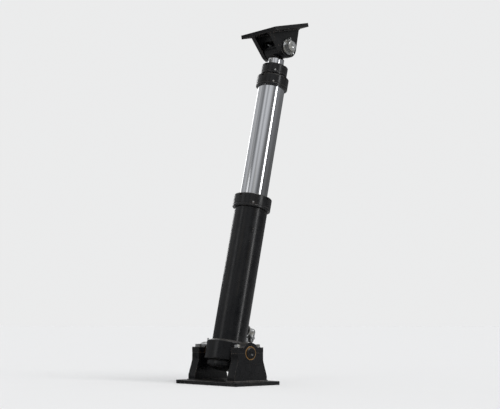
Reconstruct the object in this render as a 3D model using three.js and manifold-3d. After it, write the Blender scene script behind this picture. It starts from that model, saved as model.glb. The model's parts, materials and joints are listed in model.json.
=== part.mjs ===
// Telescopic hydraulic cylinder that lifts a tipping truck body.
// A barrel rocks on two trunnions in a cradle. Two hollow sleeves and a plunger slide out of it, one inside
// the other, and the plunger's eye turns on a pin in a bracket that bolts to the body.
//
// Millimetres. +Z up, +X towards the truck's cab, +Y along the trunnions. The origin is in the middle of the
// cradle plate's underside, below the trunnion axis. Inside the leaning cylinder, heights run along its own
// axis from the trunnion centre and are those of the closed cylinder. Each stage's group holds how far out
// it stands.

import * as THREE from "three";
import { mergeVertices } from "three/addons/utils/BufferGeometryUtils.js";
import Module from "manifold-3d";

const wasm = await Module();
wasm.setup();

// ---------------------------------------------------------------- driving dimensions

const LEAN_DEG = 12.4; // forward lean of the cylinder with the truck body part raised
const BODY_TILT_DEG = 13.7; // nose-up angle of the truck body, which the upper bracket shares
const STROKE = 660; // travel of each moving stage
const STAGE_1_OUT = 530; // how far the first stage stands out at rest
const AXIS_HEIGHT = 140; // trunnion axis above the cradle plate's underside

const GAP = 0.3; // between pieces that touch
const OVER = 6; // how far a cutting tool runs past the surface that it cuts
const SIDES = [["right", -1], ["left", 1]];

const FACETS = 24; // round parts on the cylinder's own axis
const SMALL_FACETS = 20; // round parts on the cross axes
const FASTENER_FACETS = 10;
const HOLE_FACETS = 12;
const ARC_SEGMENTS = 10; // half circles in plate outlines

// Each tube: outer and inner radius, then the seat turned in its top for the seals of the tube inside it, its
// head nut's radius, and how far that nut reaches past the tube's end.
const TUBES = {
  barrel: { outer: 76.2, inner: 68, seat: 71.2, seatDepth: 50, nut: 88, lip: 15 },
  stage_1: { outer: 63.5, inner: 56, seat: 59, seatDepth: 46, nut: 75, lip: 14 },
  stage_2: { outer: 50.8, inner: 44, seat: 47, seatDepth: 42, nut: 62, lip: 13 },
  plunger: { outer: 38.1, inner: 30 },
};
const HEAD_NUT = { skirtShorter: 4, footChamfer: 2, topChamfer: 4, rodClearance: 1.2 };
const NOTCH = { depth: 7, width: 14 }; // for a hook spanner, four in each head nut
const LOCK_SCREW = { radius: 4, hole: 4.4, proud: 1.2, belowMiddle: 4, direction: Math.PI * 1.25 };
const GUIDE_LENGTH = 22;
const PACKING_PLAY = 1; // under the head nut
const WIPER = { width: 6.2, depth: 7.7, recess: 0.6, shoulder: 3.4, lipWidth: 1.4, lip: 3 };
const CLOSED_GAP = 4; // between one stage's wiper lip and the next head nut, closed
const BOTTOM_GAP = 4; // between a stage's foot and the ledge that carries it
const LEDGE = { height: 8, reach: 9 }; // inward ledge in the foot of each hollow stage
const BEARING = { height: 30, aboveFoot: 4 };
// The ring that ends a stage's travel: set into the tube's wall, and a little slack in the bore around it.
const STOP = { height: 10, depth: 2.5, aboveBearing: 3, play: 1, slack: 0.4 };

const BASE_CAP = { radius: 82, bottom: -78, top: -50, chamfer: 14, floorGap: 6 };
const COLLAR = { radius: 98, half: 44, chamfer: 5 };
const TRUNNION = { radius: 25, start: 80.2, shoulder: 36, shoulderEnd: 105, end: 166, chamfer: 3 };
const THRUST_WASHER = { radius: 40, thick: 6 };

const PLATE = { x: 260, y: 420, thick: 16, holeX: 100, holeY: 185, hole: 11 };
const PEDESTAL = { y: 112, thick: 48, footHalf: 96, footHeight: 22, topHalf: 74, neckDrop: 34, bore: 30.6 };
const CAP = { crown: 46, earHeight: 24 };
const BUSH = { inner: 25.5, outer: 30.2 };
const CAP_BOLT = { x: 57, shank: 8, length: 58, holeDepth: 60, flats: 24, head: 10 };
const CAP_WASHER = { radius: 15, thick: 3 };
const NIPPLE = { hole: 3.6, holeDepth: 8 };

const PORT = { height: 120, boss: 27, bossEnd: 90, bore: 9, stem: 12.7, stemGap: 3 };
const PORT_NUT = { flats: 41, thick: 10 };
const ELBOW = { centre: 123, radius: 17, flare: 15, chamfer: 4, end: 48 };
const ELBOW_HEX = { flats: 36, from: 22, to: 34 };

const PLUNGER_TOP = 882;
const PLUG_HEIGHT = 24;
const BLEEDER = { belowTop: 14, flats: 13, radius: 4, hole: 4.4, headFrom: 0.6, headTo: 6 };
const EYE = { centre: 938, radius: 48, half: 48, bore: 31.3, bushOuter: 31, spigot: 22, neck: 27 };
const EYE_COLLAR = { height: 4, coneTop: 14 };

const TOP_PIN = { radius: 25, half: 102, chamfer: 3, splitPinAt: 90, crossHole: 5.4 };
const TOP_WASHER = { radius: 38, thick: 6 };
const EAR = { inner: 51, thick: 22, radius: 50, topHalf: 92 };
const BRACKET_PLATE = { height: 80, thick: 18, x: 220, y: 250, holeX: 88, holeY: 103, hole: 9 };

const finish = (name, color, metalness, roughness) =>
  new THREE.MeshStandardMaterial({ name, color, metalness, roughness });
const BLACK_PAINT = finish("black_paint", 0x101113, 0.0, 0.38);
const HARD_CHROME = finish("hard_chrome", 0xc9ccd0, 1.0, 0.16);
const BRONZE = finish("bronze", 0xa8793f, 1.0, 0.4);
const RUBBER = finish("seal_rubber", 0x16181a, 0.0, 0.7);
const PACKING = finish("packing_fabric", 0x5b4a33, 0.0, 0.85);
const ZINC = finish("zinc_plate", 0xb9bcbf, 1.0, 0.34);
const BARE_STEEL = finish("bare_steel", 0x8b8e92, 1.0, 0.36);

// ---------------------------------------------------------------- solids

function solid(geometry) {
  const bare = geometry.clone();
  bare.deleteAttribute("normal");
  bare.deleteAttribute("uv");
  const welded = mergeVertices(bare, 1e-3);
  return new wasm.Manifold(
    new wasm.Mesh({
      numProp: 3,
      vertProperties: welded.attributes.position.array,
      triVerts: new Uint32Array(welded.index.array),
    }),
  );
}

function geometryOf(made) {
  const { vertProperties, triVerts } = made.getMesh();
  const geometry = new THREE.BufferGeometry();
  geometry.setAttribute("position", new THREE.BufferAttribute(new Float32Array(vertProperties), 3));
  geometry.setIndex(new THREE.BufferAttribute(new Uint32Array(triVerts), 1));
  geometry.computeVertexNormals();
  return geometry;
}

const join = (...pieces) => geometryOf(pieces.map(solid).reduce((whole, piece) => whole.add(piece)));
const cut = (from, ...tools) =>
  geometryOf(tools.map(solid).reduce((left, tool) => left.subtract(tool), solid(from)));

// A piece turned about +Z from [radius, height] points that run anticlockwise in the half plane.
function turned(points, facets = FACETS) {
  const profile = points.map(([radius, height]) => new THREE.Vector2(radius, height));
  if (points[0][0] > 0 || points.at(-1)[0] > 0) profile.push(profile[0].clone());
  return new THREE.LatheGeometry(profile, facets).rotateX(Math.PI / 2);
}

const ring = (inner, outer, bottom, top, facets) =>
  turned([[inner, bottom], [outer, bottom], [outer, top], [inner, top]], facets);

const rod = (radius, bottom, top, facets = FASTENER_FACETS) =>
  turned([[0, bottom], [radius, bottom], [radius, top], [0, top]], facets);

// A hexagonal prism along +Z, measured across its flats.
const hex = (flats, bottom, top) => rod(flats / 2 / Math.cos(Math.PI / 6), bottom, top, 6);

const box = (x, y, z) => new THREE.BoxGeometry(x, y, z);

// What pointed to +Z points along Y, to the side that sign gives.
const alongY = (geometry, sign = 1) => geometry.rotateX((-sign * Math.PI) / 2);
const forward = (geometry) => geometry.rotateY(Math.PI / 2); // what pointed to +Z points to +X
const backward = (geometry) => forward(geometry).rotateZ(Math.PI); // what pointed to +Z points to -X

// An outline drawn in X and Z, given a thickness along +Y from the plane y.
const plate = (outline, y, thick) =>
  new THREE.ExtrudeGeometry(outline, { depth: thick, bevelEnabled: false, curveSegments: ARC_SEGMENTS })
    .rotateX(Math.PI / 2)
    .translate(0, y + thick, 0);

// Four holes along +Z, at plus and minus x and y.
function fourHoles(radius, bottom, top, x, y) {
  const corners = [[-x, -y], [-x, y], [x, -y], [x, y]];
  return corners.map(([i, j]) => rod(radius, bottom, top, HOLE_FACETS).translate(i, j, 0));
}

function named(parent, name, geometry, material) {
  const mesh = new THREE.Mesh(geometry, material);
  mesh.name = name;
  parent.add(mesh);
  return mesh;
}

function groupAt(parent, x, y, z) {
  const group = new THREE.Group();
  group.position.set(x, y, z);
  parent.add(group);
  return group;
}

// ---------------------------------------------------------------- fasteners

// A bolt whose head sits on the plane z = 0 and whose shank points down.
const hexBolt = ({ shank, length, flats, head }) =>
  join(hex(flats, 0, head), rod(shank, -length, head / 2));

// A grease nipple that stands on the plane z = 0: a threaded foot, a hexagon and a ball.
function greaseNipple() {
  const foot = [[0, -6], [3.2, -6], [3.2, 0]];
  const body = [[6, 0], [6, 6], [3.4, 8]];
  const ball = [[4.4, 14], [2.4, 17], [0, 17]];
  return turned([...foot, ...body, ...ball], FASTENER_FACETS);
}

// A split pin hung in a hole along Z: a loop above, and two legs that part below.
function splitPin(pinRadius) {
  const [side, wire] = [2.6, 2.1];
  const legSide = [
    [8.2, -pinRadius - 20],
    [side, -pinRadius - 6],
    [side, 0],
    [side, pinRadius + 2],
    [7.5, pinRadius + 9],
    [5.5, pinRadius + 16],
  ];
  const left = legSide.map(([y, z]) => new THREE.Vector3(0, y, z));
  const right = legSide.map(([y, z]) => new THREE.Vector3(0, -y, z)).reverse();
  const loopTop = new THREE.Vector3(0, 0, pinRadius + 18);
  const section = new THREE.Shape().absarc(0, 0, wire, 0, Math.PI * 2);
  return new THREE.ExtrudeGeometry(section, {
    steps: 18,
    curveSegments: 3,
    extrudePath: new THREE.CatmullRomCurve3([...left, loopTop, ...right], false, "centripetal"),
  });
}

// ---------------------------------------------------------------- cradle

const CAP_BASE = AXIS_HEIGHT + GAP; // the bearing is split at its axis
const CAP_EAR_TOP = CAP_BASE + CAP.earHeight;

function pedestalOutline() {
  const { footHalf, footHeight, topHalf, neckDrop, bore } = PEDESTAL;
  const foot = PLATE.thick + GAP;
  return new THREE.Shape()
    .moveTo(-footHalf, foot)
    .lineTo(footHalf, foot)
    .lineTo(footHalf, PLATE.thick + footHeight)
    .lineTo(topHalf, AXIS_HEIGHT - neckDrop)
    .lineTo(topHalf, AXIS_HEIGHT)
    .lineTo(bore, AXIS_HEIGHT)
    .absarc(0, AXIS_HEIGHT, bore, 0, Math.PI, true)
    .lineTo(-topHalf, AXIS_HEIGHT)
    .lineTo(-topHalf, AXIS_HEIGHT - neckDrop)
    .lineTo(-footHalf, PLATE.thick + footHeight);
}

function capOutline() {
  const { topHalf, bore } = PEDESTAL;
  const earMeetsCrown = Math.asin(CAP.earHeight / CAP.crown);
  return new THREE.Shape()
    .moveTo(bore, CAP_BASE)
    .lineTo(topHalf, CAP_BASE)
    .lineTo(topHalf, CAP_EAR_TOP)
    .absarc(0, CAP_BASE, CAP.crown, earMeetsCrown, Math.PI - earMeetsCrown, false)
    .lineTo(-topHalf, CAP_EAR_TOP)
    .lineTo(-topHalf, CAP_BASE)
    .lineTo(-bore, CAP_BASE)
    .absarc(0, CAP_BASE, bore, Math.PI, 0, true);
}

// One trunnion bearing: the pedestal, its cap, the bush between them, and what holds and greases them.
function buildBearing(part, side, sign) {
  const { thick } = PEDESTAL;
  const middle = sign * (PEDESTAL.y + thick / 2);
  const inner = middle - thick / 2;
  const crownTop = CAP_BASE + CAP.crown;
  const boltHoles = [-CAP_BOLT.x, CAP_BOLT.x].map((x) =>
    rod(CAP_BOLT.shank + GAP, CAP_EAR_TOP - CAP_BOLT.holeDepth, CAP_EAR_TOP + OVER).translate(x, middle, 0));
  const nippleHole = rod(NIPPLE.hole, crownTop - NIPPLE.holeDepth, crownTop + OVER).translate(0, middle, 0);
  const pedestal = cut(plate(pedestalOutline(), inner, thick), ...boltHoles);
  const cap = cut(plate(capOutline(), inner, thick), ...boltHoles, nippleHole);
  const bush = alongY(ring(BUSH.inner, BUSH.outer, 0, thick, SMALL_FACETS)).translate(0, inner, AXIS_HEIGHT);
  named(part, `pedestal_${side}`, pedestal, BLACK_PAINT);
  named(part, `bearing_cap_${side}`, cap, BLACK_PAINT);
  named(part, `trunnion_bush_${side}`, bush, BRONZE);
  for (const [end, x] of [["rear", -CAP_BOLT.x], ["front", CAP_BOLT.x]]) {
    const seat = groupAt(part, x, middle, CAP_EAR_TOP + GAP);
    const { radius, thick: washerThick } = CAP_WASHER;
    const washer = ring(CAP_BOLT.shank + GAP, radius, 0, washerThick, HOLE_FACETS);
    named(seat, `cap_washer_${side}_${end}`, washer, ZINC);
    named(seat, `cap_bolt_${side}_${end}`, hexBolt(CAP_BOLT), ZINC).position.z = washerThick + GAP;
  }
  const nipple = named(part, `cap_grease_nipple_${side}`, greaseNipple(), ZINC);
  nipple.position.set(0, middle, crownTop + GAP);
}

function buildCradle(part) {
  const { x, y, thick, holeX, holeY, hole } = PLATE;
  const slab = box(x, y, thick).translate(0, 0, thick / 2);
  named(part, "cradle_plate", cut(slab, ...fourHoles(hole, -OVER, thick + OVER, holeX, holeY)), BLACK_PAINT);
  for (const [side, sign] of SIDES) buildBearing(part, side, sign);
}

// ---------------------------------------------------------------- barrel, sleeves and plunger

// Heights on the closed cylinder, worked up from the base cap.
function stackHeights() {
  const heights = {};
  const { skirtShorter } = HEAD_NUT;
  let foot = BASE_CAP.top + BASE_CAP.floorGap;
  const bearingTop = foot + BEARING.aboveFoot + BEARING.height;
  let nutBottom = bearingTop + STOP.aboveBearing + STOP.height + STROKE + STOP.play + skirtShorter;
  heights.barrel = { foot: BASE_CAP.top + GAP };
  for (const [name, next] of [["barrel", "stage_1"], ["stage_1", "stage_2"], ["stage_2", "plunger"]]) {
    const { seatDepth, lip } = TUBES[name];
    const top = nutBottom + seatDepth - skirtShorter;
    const seatBottom = top - seatDepth;
    Object.assign(heights[name], { top, seatBottom, nutBottom, lipTop: top + lip });
    heights[next] = { foot, stopTop: seatBottom - STOP.play - STROKE };
    foot += LEDGE.height + BOTTOM_GAP;
    nutBottom = top + lip + WIPER.lip + CLOSED_GAP;
  }
  heights.plunger.top = PLUNGER_TOP;
  return heights;
}
const AT = stackHeights();

// The outside wall of a moving tube, from foot to top, with the shallow groove that holds its stop ring.
function outerWall(name) {
  const { outer } = TUBES[name];
  const { foot, top, stopTop } = AT[name];
  const grooveFloor = outer - STOP.depth;
  const [low, high] = [stopTop - STOP.height - GAP, stopTop + GAP];
  return [[outer, foot], [outer, low], [grooveFloor, low], [grooveFloor, high], [outer, high], [outer, top]];
}

// The rings that run with a moving tube, inside the tube around it.
function buildRings(group, name, around) {
  const { outer } = TUBES[name];
  const { foot, stopTop } = AT[name];
  const bearing = foot + BEARING.aboveFoot;
  const bore = TUBES[around].inner - GAP;
  const stopInner = outer - STOP.depth + GAP;
  const stopRing = ring(stopInner, bore - STOP.slack, stopTop - STOP.height, stopTop);
  named(group, `${name}_bearing_ring`, ring(outer + GAP, bore, bearing, bearing + BEARING.height), BRONZE);
  named(group, `${name}_stop_ring`, stopRing, BARE_STEEL);
}

// The screwed nut over a tube's end, with notches for a spanner and a hole for its lock screw.
function headNut(name, guest, screwHole) {
  const { outer, nut, lip } = TUBES[name];
  const { top, nutBottom, lipTop } = AT[name];
  const { footChamfer, topChamfer, rodClearance } = HEAD_NUT;
  const wiperSeat = [guest + WIPER.width + GAP, lipTop - WIPER.depth - GAP];
  const outside = [
    [outer + GAP, nutBottom],
    [nut - footChamfer, nutBottom],
    [nut, nutBottom + footChamfer],
    [nut, lipTop - topChamfer],
    [nut - topChamfer, lipTop],
  ];
  const inside = [
    [wiperSeat[0], lipTop],
    wiperSeat,
    [guest + rodClearance, wiperSeat[1]],
    [guest + rodClearance, top + GAP],
    [outer + GAP, top + GAP],
  ];
  const notches = [0, 1, 2, 3].map((quarter) =>
    box(NOTCH.depth * 2, NOTCH.width, lip * 2)
      .translate(nut, 0, lipTop)
      .rotateZ((quarter * Math.PI) / 2 + Math.PI / FACETS));
  return cut(turned([...outside, ...inside]), ...notches, screwHole);
}

function wiper(guest, lipTop) {
  const { width, depth, recess, shoulder, lipWidth, lip } = WIPER;
  const bottom = lipTop - depth;
  return turned([
    [guest + GAP, bottom],
    [guest + width, bottom],
    [guest + width, lipTop - recess],
    [guest + shoulder, lipTop],
    [guest + lipWidth, lipTop + lip],
    [guest + GAP, lipTop + lip],
  ]);
}

// The head of a tube: guide ring and packing in its seat, and a screwed nut over them that carries the wiper.
function buildHead(group, name, inside) {
  const { outer, seat, nut } = TUBES[name];
  const { top, seatBottom, nutBottom, lipTop } = AT[name];
  const guest = TUBES[inside].outer;
  const guideTop = seatBottom + GUIDE_LENGTH;
  const guide = ring(guest + GAP, seat - GAP, seatBottom + GAP, guideTop);
  const packing = ring(guest + GAP, seat - GAP, guideTop + GAP, top - PACKING_PLAY);

  const screwHeight = (nutBottom + top) / 2 - LOCK_SCREW.belowMiddle;
  const towardsScrew = LOCK_SCREW.direction + Math.PI / FACETS;
  const placed = (piece) => forward(piece).rotateZ(towardsScrew).translate(0, 0, screwHeight);
  const screwHole = placed(rod(LOCK_SCREW.hole, outer - OVER, nut + OVER));
  const screw = placed(rod(LOCK_SCREW.radius, outer + 1, nut + LOCK_SCREW.proud));

  named(group, `${name}_guide_ring`, guide, BRONZE);
  named(group, `${name}_packing`, packing, PACKING);
  named(group, `${name}_head_nut`, headNut(name, guest, screwHole), BLACK_PAINT);
  named(group, `${name}_lock_screw`, screw, ZINC);
  named(group, `${name}_wiper`, wiper(guest, lipTop), RUBBER);
}

function buildBaseCap(group) {
  const { radius, bottom, top, chamfer } = BASE_CAP;
  const edge = [[radius - chamfer, bottom], [radius, bottom + chamfer], [radius, top]];
  named(group, "barrel_base_cap", turned([[0, bottom], ...edge, [0, top]]), BLACK_PAINT);
}

// The band around the barrel with its two stub shafts, and a washer on each stub.
function buildTrunnions(group) {
  const { outer } = TUBES.barrel;
  const { half, chamfer } = COLLAR;
  const band = turned([
    [outer - 1, -half],
    [COLLAR.radius - chamfer, -half],
    [COLLAR.radius, chamfer - half],
    [COLLAR.radius, half - chamfer],
    [COLLAR.radius - chamfer, half],
    [outer - 1, half],
  ]);
  const stub = (sign) => {
    const { radius, start, shoulder, shoulderEnd, end } = TRUNNION;
    const tip = [[radius, end - TRUNNION.chamfer], [radius - TRUNNION.chamfer, end], [0, end]];
    const root = [[0, start], [shoulder, start], [shoulder, shoulderEnd], [radius, shoulderEnd]];
    return alongY(turned([...root, ...tip], SMALL_FACETS), sign);
  };
  const barrelSpace = rod(outer + GAP, -half - OVER, half + OVER, FACETS);
  named(group, "trunnion_collar", cut(join(band, stub(1), stub(-1)), barrelSpace), BLACK_PAINT);
  for (const [side, sign] of SIDES) {
    const from = TRUNNION.shoulderEnd + GAP;
    const { radius, thick } = THRUST_WASHER;
    const washer = ring(TRUNNION.radius + GAP, radius, from, from + thick, SMALL_FACETS);
    named(group, `thrust_washer_${side}`, alongY(washer, sign), BRONZE);
  }
}

// The oil port: a boss on the barrel's cab side, and an elbow in it that turns down, held by a lock nut.
function buildPort(group) {
  const { outer } = TUBES.barrel;
  const { boss, bossEnd, bore, stem, stemGap } = PORT;
  const port = groupAt(group, 0, 0, PORT.height);
  const barrelSpace = rod(outer + GAP, -boss - OVER, boss + OVER, FACETS);
  const nutFace = bossEnd + GAP;
  const nutEnd = nutFace + PORT_NUT.thick;
  const stemHole = forward(rod(stem + GAP, outer - boss, nutEnd + OVER, SMALL_FACETS));
  const bossBody = forward(rod(boss, outer - OVER, bossEnd, SMALL_FACETS));
  named(port, "port_boss", cut(bossBody, barrelSpace, stemHole), BLACK_PAINT);
  named(port, "port_lock_nut", cut(forward(hex(PORT_NUT.flats, nutFace, nutEnd)), stemHole), ZINC);

  const { centre, radius, flare, chamfer, end } = ELBOW;
  const stemStart = outer + stemGap;
  const knuckle = new THREE.SphereGeometry(radius, SMALL_FACETS, 8).rotateX(Math.PI / 2);
  const inHex = chamfer - ELBOW_HEX.to;
  const nose = [[0, -end], [flare - chamfer, -end], [flare, 1 + chamfer - end], [flare, inHex], [0, inHex]];
  const leg = [
    rod(radius, -ELBOW_HEX.from - chamfer, 0, SMALL_FACETS),
    hex(ELBOW_HEX.flats, -ELBOW_HEX.to, -ELBOW_HEX.from),
    turned(nose, SMALL_FACETS),
    knuckle,
  ].map((piece) => piece.translate(centre, 0, 0));
  const arm = [
    forward(rod(stem, stemStart, centre, SMALL_FACETS)),
    forward(rod(radius, nutEnd + 2, centre, SMALL_FACETS)),
  ];
  const oilway = [
    forward(rod(bore, stemStart - OVER, centre, SMALL_FACETS)),
    rod(bore, -end - OVER, chamfer, SMALL_FACETS).translate(centre, 0, 0),
  ];
  named(port, "port_elbow", cut(join(...arm, ...leg), ...oilway), ZINC);
}

function buildBarrel(group) {
  const { outer, inner, seat } = TUBES.barrel;
  const { foot, top, seatBottom } = AT.barrel;
  const { bore, height } = PORT;
  const oilHole = forward(rod(bore, inner - OVER, outer + OVER, SMALL_FACETS)).translate(0, 0, height);
  const bored = [[seat, top], [seat, seatBottom], [inner, seatBottom]];
  named(group, "barrel_tube", cut(turned([[inner, foot], [outer, foot], [outer, top], ...bored]), oilHole),
    BLACK_PAINT);
  buildBaseCap(group);
  buildTrunnions(group);
  buildPort(group);
  buildHead(group, "barrel", "stage_1");
}

function buildSleeve(group, name, around, inside) {
  const { inner, seat } = TUBES[name];
  const { foot, top, seatBottom } = AT[name];
  const ledge = inner - LEDGE.reach;
  const ledgeTop = foot + LEDGE.height;
  const bored = [[seat, top], [seat, seatBottom], [inner, seatBottom], [inner, ledgeTop], [ledge, ledgeTop]];
  named(group, `${name}_tube`, turned([[ledge, foot], ...outerWall(name), ...bored]), HARD_CHROME);
  buildRings(group, name, around);
  buildHead(group, name, inside);
}

// The eye on the plunger's top: a spigot in the tube, a cone, and a bored hub with its bush and nipple.
function buildEye(group) {
  const { outer, inner } = TUBES.plunger;
  const { top } = AT.plunger;
  const { centre, radius, half, bore, bushOuter, spigot, neck } = EYE;
  const shank = [
    [0, top - spigot],
    [inner - GAP, top - spigot],
    [inner - GAP, top + GAP],
    [outer, top + GAP],
    [outer, top + EYE_COLLAR.height],
    [neck, top + EYE_COLLAR.coneTop],
    [neck, centre],
    [0, centre],
  ];
  const raised = (piece) => piece.translate(0, 0, centre);
  const hub = raised(alongY(rod(radius, -half, half, FACETS)));
  const pinSpace = raised(alongY(rod(bore, -half - OVER, half + OVER, SMALL_FACETS)));
  const nippleHole = raised(backward(rod(NIPPLE.hole, bore - 2, radius + OVER)));
  const nipple = raised(backward(greaseNipple().translate(0, 0, radius + GAP)));
  const bush = raised(alongY(ring(BUSH.inner, bushOuter, -half, half, SMALL_FACETS)));
  const eye = cut(join(turned(shank), hub), pinSpace, nippleHole);
  named(group, "plunger_eye", eye, BLACK_PAINT);
  named(group, "eye_bush", bush, BRONZE);
  named(group, "eye_grease_nipple", nipple, ZINC);
}

function buildPlunger(group) {
  const { outer, inner } = TUBES.plunger;
  const { foot, top } = AT.plunger;
  const { belowTop, flats, radius, hole, headFrom, headTo } = BLEEDER;
  const placed = (piece) => backward(piece).translate(0, 0, top - belowTop);
  const bleederHole = placed(rod(hole, inner - OVER, outer + OVER));
  const bleeder = join(hex(flats, outer + headFrom, outer + headTo), rod(radius, inner + 1, outer + 1));
  const wall = turned([[inner, foot], ...outerWall("plunger"), [inner, top]]);
  named(group, "plunger_tube", cut(wall, bleederHole), HARD_CHROME);
  named(group, "plunger_foot_plug", rod(inner - GAP, foot, foot + PLUG_HEIGHT, FACETS), BARE_STEEL);
  named(group, "bleeder_screw", placed(bleeder), ZINC);
  buildRings(group, "plunger", "stage_2");
  buildEye(group);
}

// ---------------------------------------------------------------- upper bracket and its pin

function buildTopPin(group) {
  const { radius, half, chamfer, splitPinAt, crossHole } = TOP_PIN;
  const upperEnd = [[radius, half - chamfer], [radius - chamfer, half], [0, half]];
  const lowerEnd = upperEnd.map(([r, z]) => [r, -z]).reverse();
  const shaft = alongY(turned([...lowerEnd, ...upperEnd], SMALL_FACETS));
  const crossHoles = SIDES.map(([, sign]) =>
    rod(crossHole, -radius - OVER, radius + OVER).translate(0, sign * splitPinAt, 0));
  named(group, "top_pin", cut(shaft, ...crossHoles), ZINC);
  for (const [side, sign] of SIDES) {
    const from = EAR.inner + EAR.thick + GAP;
    const washer = ring(radius + GAP, TOP_WASHER.radius, from, from + TOP_WASHER.thick, SMALL_FACETS);
    named(group, `top_pin_washer_${side}`, alongY(washer, sign), ZINC);
    named(group, `split_pin_${side}`, splitPin(radius), ZINC).position.y = sign * splitPinAt;
  }
}

// A bolted plate with two ears below it. The origin is the pin's centre.
function buildUpperBracket(group) {
  const { height, thick, x, y, holeX, holeY, hole } = BRACKET_PLATE;
  const fromTop = Math.atan2(EAR.topHalf, height) + Math.acos(EAR.radius / Math.hypot(EAR.topHalf, height));
  const outline = new THREE.Shape()
    .moveTo(EAR.topHalf, height + 1)
    .lineTo(-EAR.topHalf, height + 1)
    .absarc(0, 0, EAR.radius, Math.PI / 2 + fromTop, Math.PI * 2.5 - fromTop, false);
  const ears = [-EAR.inner - EAR.thick, EAR.inner].map((from) => plate(outline, from, EAR.thick));
  const slab = box(x, y, thick).translate(0, 0, height + thick / 2);
  const boltHoles = fourHoles(hole, height - OVER, height + thick + OVER, holeX, holeY);
  const pinHole = alongY(rod(TOP_PIN.radius + GAP, -y, y, SMALL_FACETS));
  named(group, "upper_bracket", cut(join(slab, ...ears), pinHole, ...boltHoles), BLACK_PAINT);
  buildTopPin(group);
}

// ---------------------------------------------------------------- assembly

const part = new THREE.Group();
buildCradle(part);

const cylinder = groupAt(part, 0, 0, AXIS_HEIGHT);
cylinder.rotation.y = THREE.MathUtils.degToRad(LEAN_DEG);
buildBarrel(cylinder);

const stage1 = groupAt(cylinder, 0, 0, STAGE_1_OUT);
buildSleeve(stage1, "stage_1", "barrel", "stage_2");

const stage2 = groupAt(stage1, 0, 0, 0);
buildSleeve(stage2, "stage_2", "stage_1", "plunger");

const plunger = groupAt(stage2, 0, 0, 0);
buildPlunger(plunger);

const bracket = groupAt(plunger, 0, 0, EYE.centre);
bracket.rotation.y = THREE.MathUtils.degToRad(-LEAN_DEG - BODY_TILT_DEG);
buildUpperBracket(bracket);

export default part;
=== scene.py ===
"""Looks of the telescopic hydraulic cylinder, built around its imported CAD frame.

Each shape is made in a place of its own: metres, with z along its turning axis or square to its plate. A
place is the matrix from there to the CAD's frame. Places and main sizes are measured on the CAD nodes, and
the sizes below are those that a node's box can't give.
"""
import json
import math
from bisect import bisect
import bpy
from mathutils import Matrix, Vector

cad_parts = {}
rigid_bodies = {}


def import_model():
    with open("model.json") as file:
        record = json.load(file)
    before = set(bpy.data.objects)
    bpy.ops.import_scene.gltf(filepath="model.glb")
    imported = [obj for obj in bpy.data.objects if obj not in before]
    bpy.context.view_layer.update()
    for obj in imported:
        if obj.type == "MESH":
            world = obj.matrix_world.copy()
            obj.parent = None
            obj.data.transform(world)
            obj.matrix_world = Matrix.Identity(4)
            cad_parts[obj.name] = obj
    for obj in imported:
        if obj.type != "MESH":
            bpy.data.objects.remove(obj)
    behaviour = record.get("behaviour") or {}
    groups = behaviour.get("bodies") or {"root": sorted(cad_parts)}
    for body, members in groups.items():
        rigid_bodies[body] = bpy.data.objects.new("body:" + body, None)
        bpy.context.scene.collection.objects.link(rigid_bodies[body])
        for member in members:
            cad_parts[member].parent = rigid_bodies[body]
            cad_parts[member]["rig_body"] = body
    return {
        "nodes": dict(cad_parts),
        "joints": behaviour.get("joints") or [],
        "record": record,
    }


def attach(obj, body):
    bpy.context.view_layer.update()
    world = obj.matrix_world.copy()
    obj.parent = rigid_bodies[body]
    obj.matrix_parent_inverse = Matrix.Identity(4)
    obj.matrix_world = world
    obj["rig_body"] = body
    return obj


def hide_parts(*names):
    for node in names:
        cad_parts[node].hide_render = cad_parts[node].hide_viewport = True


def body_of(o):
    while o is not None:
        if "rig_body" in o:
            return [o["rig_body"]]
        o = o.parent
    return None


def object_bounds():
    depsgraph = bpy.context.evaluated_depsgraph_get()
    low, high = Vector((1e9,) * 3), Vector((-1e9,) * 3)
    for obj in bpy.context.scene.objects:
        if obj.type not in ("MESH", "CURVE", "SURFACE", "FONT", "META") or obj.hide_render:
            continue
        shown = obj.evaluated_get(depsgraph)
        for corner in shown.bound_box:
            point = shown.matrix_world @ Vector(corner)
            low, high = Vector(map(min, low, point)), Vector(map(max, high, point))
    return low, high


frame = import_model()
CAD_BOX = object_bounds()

from types import SimpleNamespace

import bmesh
import bpy
from mathutils import Matrix, Vector, noise

# ---- sizes

MM = 0.001


def sizes(**millimetres):
    """A named group of sizes, written in millimetres and kept in metres."""
    return SimpleNamespace(**{name: size * MM for name, size in millimetres.items()})


GAP = 0.3 * MM  # the CAD's gap between pieces that touch
OVER = 5 * MM  # how far a cutting tool runs past the surface that it cuts
CORNER = 0.4 * MM  # rounding of a turned edge, where nothing else is said
SHARP = math.radians(38)  # edges sharper than this are bevelled, and stay sharp in the shading
TUBES = ("barrel", "stage_1", "stage_2", "plunger")  # from the widest in
SIDES = (("right", -1), ("left", 1))  # and the sign of y on that side

# Facets around a circle.
ROUND = 128  # pieces on the cylinder's own axis
MEDIUM_ROUND = 96  # pins and stub shafts
SMALL_ROUND = 72  # bushes, washers and fittings
TINY_ROUND = 40  # bolt holes, screws and nipples
WELD_ROUND = 120  # seams where two tubes meet

PLATE = sizes(corner=9, edge=1.4, hole=11, hole_x=100, hole_y=185)
PEDESTAL = sizes(foot_height=22, neck_drop=34, bore=30.6, edge=1.2, weld=4.6, weld_corner=4)
EAR_HEIGHT = 24 * MM  # of a bearing cap, where its bolts go through
CAP_BOLT = sizes(x=57, hole=8.3, hole_depth=40, shank=8, length=58, flats=24, head=10, edge=0.3)
CAP_WASHER = sizes(hole=8.4, radius=15, thick=3, corner=0.5)
BOLT_TURNS = {"rear": 17, "front": 41}  # degrees that each bolt's head happens to be turned
BUSH_CORNER = 0.8 * MM
NIPPLE = sizes(flats=9, hexagon=5.5, foot=6, hole=3.6, hole_low=-30, hole_high=10)

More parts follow.
